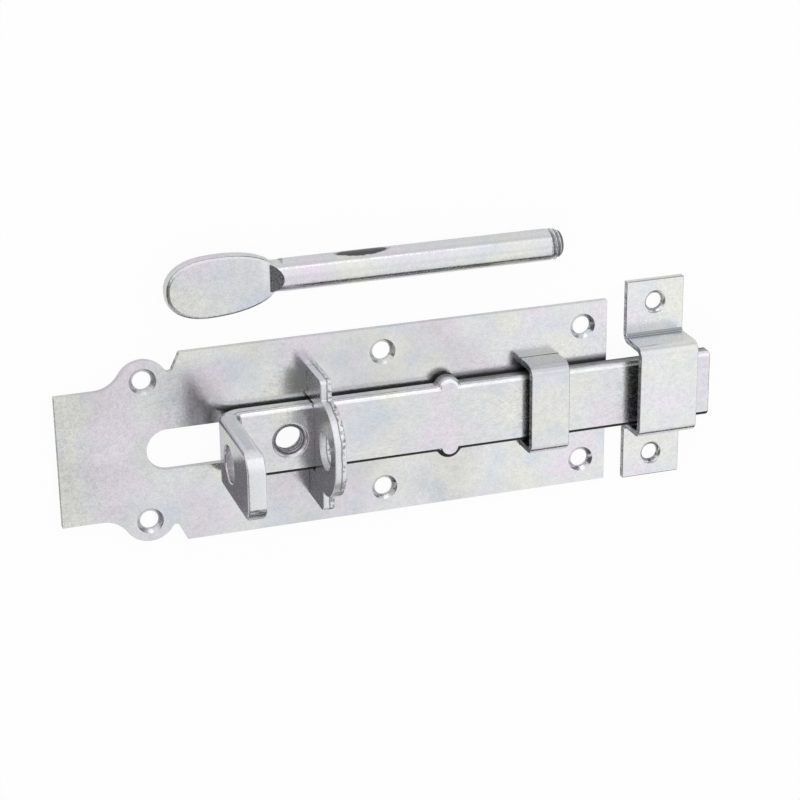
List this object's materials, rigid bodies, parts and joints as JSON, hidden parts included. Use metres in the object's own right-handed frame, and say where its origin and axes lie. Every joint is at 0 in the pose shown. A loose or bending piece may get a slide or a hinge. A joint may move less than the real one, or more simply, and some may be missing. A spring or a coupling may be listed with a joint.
{
  "type": "stable door bolt",
  "caption": "Flat sliding stable door bolt with a bent padlock lug, ornamental back plate, lock staple, guide staple, loose keeper and screw-in handle.",
  "frame": {"origin": "middle of the back plate's four outer screw holes, on the plate's back face, which lies on the door", "axes": "+Z out of the door, away from the plate's back; +X along the bolt's travel, the way it is shot into the keeper; +Y across the plate, towards the side where the loose handle lies"},
  "size_m": [0.2549, 0.1119, 0.0505],
  "materials": {
    "zinc_plate": "bright zinc plated sheet, satin",
    "zinc_bar": "bright zinc plated flat bar, satin",
    "zinc_rod": "bright zinc plated round rod, satin"
  },
  "bodies": {
    "root": {"backplate": "zinc_plate", "lock_staple": "zinc_plate", "guide_staple": "zinc_plate", "keeper": "zinc_plate", "handle": "zinc_rod"},
    "bolt": {"bolt": "zinc_bar"}
  },
  "joints": [
    {"name": "bolt_slide", "type": "slide", "parent": "root", "child": "bolt", "axis": [1, 0, 0], "range_m": [-0.0441, 0.0261]}
  ]
}
